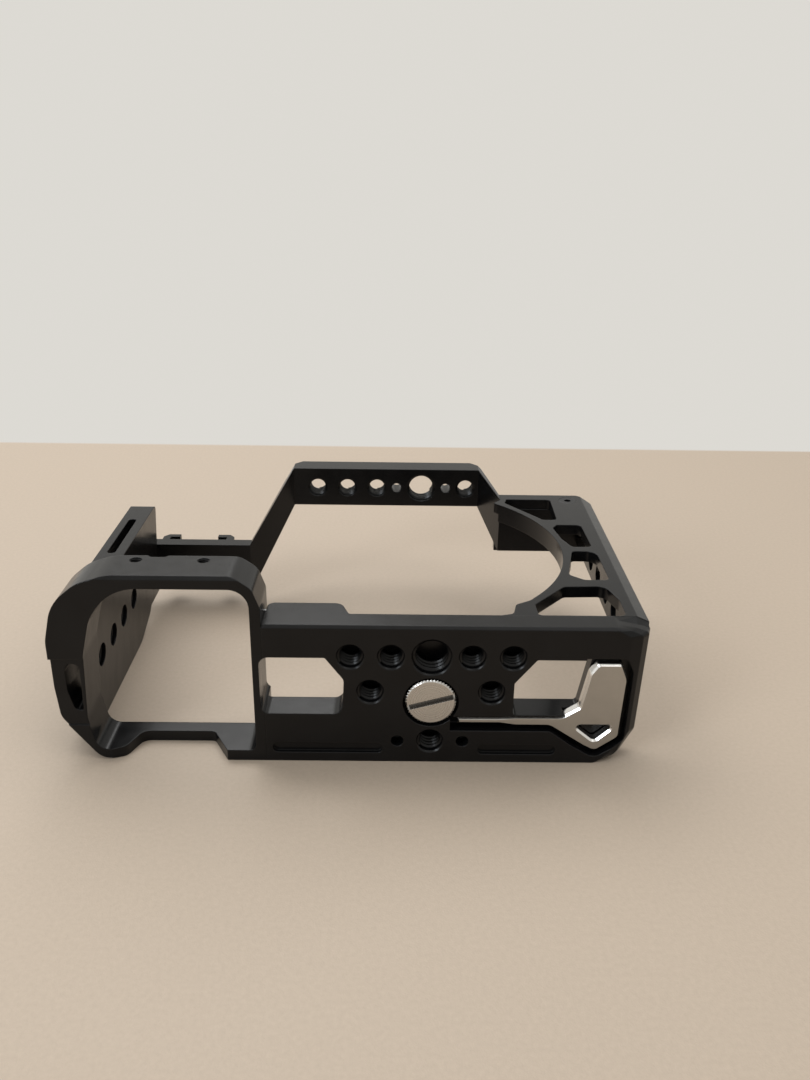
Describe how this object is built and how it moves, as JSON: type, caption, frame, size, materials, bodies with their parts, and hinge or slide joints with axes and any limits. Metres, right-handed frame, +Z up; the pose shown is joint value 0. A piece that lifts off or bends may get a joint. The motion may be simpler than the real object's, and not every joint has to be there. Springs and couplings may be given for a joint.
{
  "type": "camera cage",
  "caption": "Black aluminium camera cage with a plate, grip loop, top bridge, lens-side frame, camera screw and a tool held in its base.",
  "frame": {"origin": "middle of the bounding box in X and Y, at the level of the surface it lies on", "axes": "+X from the grip side to the lens-release side, along the longest side; +Y from the base plate to the top bar; +Z up, out of the lens opening, with the cage lying on its rear edge"},
  "size_m": [0.1476, 0.111, 0.0516],
  "materials": {
    "black_anodised": "satin black anodised",
    "stainless": "turned and lightly polished",
    "tool_steel": "bead blasted with bright bevels",
    "black_steel": "black oxide",
    "dowel_steel": "ground",
    "magnet_nickel": "nickel plated",
    "washer_nylon": "natural",
    "pad_silicone": "matt"
  },
  "bodies": {
    "frame": {"bottom_plate": "black_anodised", "grip_frame": "black_anodised", "top_bridge": "black_anodised", "lens_side_frame": "black_anodised", "tool_magnets": "magnet_nickel", "base_pad_grip_side": "pad_silicone", "base_pad_lens_side": "pad_silicone", "index_pin": "dowel_steel", "grip_frame_screws": "black_steel", "grip_frame_dowels": "dowel_steel", "bridge_side_screws": "black_steel", "bridge_front_screw": "black_steel", "bridge_dowels": "dowel_steel", "lens_frame_screws": "black_steel", "lens_frame_dowels": "dowel_steel"},
    "screw_carrier": {"thrust_washer": "washer_nylon"},
    "screw": {"camera_screw": "stainless", "retaining_clip": "black_steel"},
    "tool": {"driver_tool": "tool_steel"}
  },
  "joints": [
    {"name": "screw_float", "type": "slide", "parent": "frame", "child": "screw_carrier", "axis": [0, -1, 0], "range_m": [0, 0.0014]},
    {"name": "screw_turn", "type": "hinge", "parent": "screw_carrier", "child": "screw", "pos_m": [0.01986, -0.0555, 0.0177], "axis": [0, 1, 0], "continuous": true},
    {"name": "tool_lift_out", "type": "slide", "parent": "frame", "child": "tool", "axis": [0, -1, 0], "range_m": [0, 0.014]}
  ]
}
